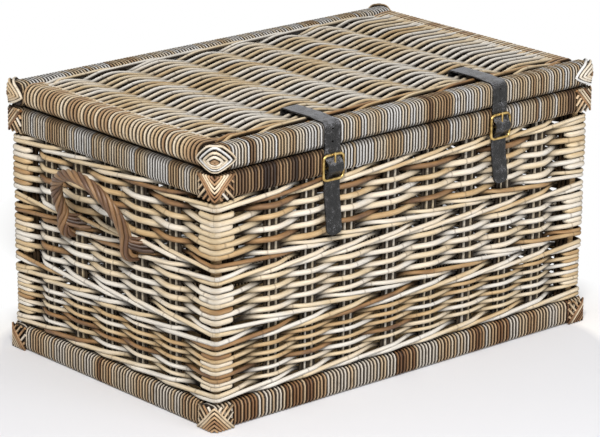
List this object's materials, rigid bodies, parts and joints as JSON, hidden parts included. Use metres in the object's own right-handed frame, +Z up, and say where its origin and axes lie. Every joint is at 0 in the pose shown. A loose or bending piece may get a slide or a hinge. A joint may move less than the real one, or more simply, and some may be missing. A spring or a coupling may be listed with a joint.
{
  "type": "storage chest",
  "caption": "Woven rattan storage chest with a hinged lid, buckled leather straps and rope handles.",
  "frame": {"origin": "on the floor, at the middle of the bounding box's base", "axes": "+Z up, +X along the length to the right seen from the front, front with the straps faces -Y"},
  "size_m": [0.9232, 0.5274, 0.45],
  "materials": {
    "pale_cane": "satin, weathered pale cane with greyish and tan rods",
    "dark_cane": "satin, darker upright rods",
    "bound_peel": "satin, split cane peel wound tight",
    "brown_peel": "satin, browner cane peel wound tight",
    "softwood": "sawn",
    "plywood": "sanded",
    "twisted_cane_rope": "satin, dark twisted cane",
    "black_leather": "smooth, slightly glossy",
    "brass": "polished"
  },
  "bodies": {
    "chest_body": {"base_board": "plywood", "base_bearers": "softwood", "base_battens": "softwood", "base_wrap_front": "brown_peel", "base_wrap_back": "brown_peel", "base_wrap_left": "brown_peel", "base_wrap_right": "brown_peel", "base_corner_caps": "brown_peel", "corner_post_front_left": "pale_cane", "corner_post_front_right": "pale_cane", "corner_post_back_left": "pale_cane", "corner_post_back_right": "pale_cane", "corner_loops_front_left": "pale_cane", "corner_loops_front_right": "pale_cane", "corner_loops_back_right": "pale_cane", "corner_loops_back_left": "pale_cane", "front_stakes": "dark_cane", "front_weavers": "pale_cane", "front_waling": "pale_cane", "right_stakes": "dark_cane", "right_weavers": "pale_cane", "right_waling": "pale_cane", "back_stakes": "dark_cane", "back_weavers": "pale_cane", "back_waling": "pale_cane", "left_stakes": "dark_cane", "left_weavers": "pale_cane", "left_waling": "pale_cane", "rim_battens": "softwood", "rim_wrap_front": "bound_peel", "rim_wrap_back": "bound_peel", "rim_wrap_left": "bound_peel", "rim_wrap_right": "bound_peel", "rim_corner_caps": "bound_peel", "left_handle": "twisted_cane_rope", "right_handle": "twisted_cane_rope", "handle_lashings": "pale_cane", "left_buckle_chape": "black_leather", "right_buckle_chape": "black_leather", "left_hinge_strap": "black_leather", "right_hinge_strap": "black_leather", "hinge_nails_body": "brass"},
    "lid": {"lid_battens": "softwood", "lid_end_poles": "pale_cane", "lid_front_wrap": "bound_peel", "lid_back_wrap": "bound_peel", "lid_left_end_binding": "bound_peel", "lid_right_end_binding": "bound_peel", "lid_corner_knots": "bound_peel", "lid_stakes": "dark_cane", "lid_weavers": "pale_cane", "lid_waling": "pale_cane", "hinge_nails_lid": "brass"},
    "left_strap": {"left_strap": "black_leather"},
    "left_buckle_frame": {"left_buckle_frame": "brass"},
    "left_buckle_prong": {"left_buckle_prong": "brass"},
    "right_strap": {"right_strap": "black_leather"},
    "right_buckle_frame": {"right_buckle_frame": "brass"},
    "right_buckle_prong": {"right_buckle_prong": "brass"}
  },
  "joints": [
    {"name": "lid_hinge", "type": "hinge", "parent": "chest_body", "child": "lid", "pos_m": [0, 0.2566, 0.40475], "axis": [-1, 0, 0], "range_deg": [0, 105], "deforming": ["left_hinge_strap", "right_hinge_strap", "left_strap", "right_strap"]},
    {"name": "left_strap_lift", "type": "hinge", "parent": "lid", "child": "left_strap", "pos_m": [-0.17, -0.1554, 0.4488], "axis": [-1, 0, 0], "range_deg": [0, 80], "deforming": ["left_strap"]},
    {"name": "left_buckle_swing", "type": "hinge", "parent": "chest_body", "child": "left_buckle_frame", "pos_m": [-0.17, -0.26, 0.376], "axis": [1, 0, 0], "range_deg": [-7, 12]},
    {"name": "left_prong_swing", "type": "hinge", "parent": "left_buckle_frame", "child": "left_buckle_prong", "pos_m": [-0.17, -0.26, 0.376], "axis": [1, 0, 0], "range_deg": [0, 100]},
    {"name": "right_strap_lift", "type": "hinge", "parent": "lid", "child": "right_strap", "pos_m": [0.186, -0.1554, 0.4488], "axis": [-1, 0, 0], "range_deg": [0, 80], "deforming": ["right_strap"]},
    {"name": "right_buckle_swing", "type": "hinge", "parent": "chest_body", "child": "right_buckle_frame", "pos_m": [0.186, -0.26, 0.376], "axis": [1, 0, 0], "range_deg": [-7, 12]},
    {"name": "right_prong_swing", "type": "hinge", "parent": "right_buckle_frame", "child": "right_buckle_prong", "pos_m": [0.186, -0.26, 0.376], "axis": [1, 0, 0], "range_deg": [0, 100]}
  ]
}
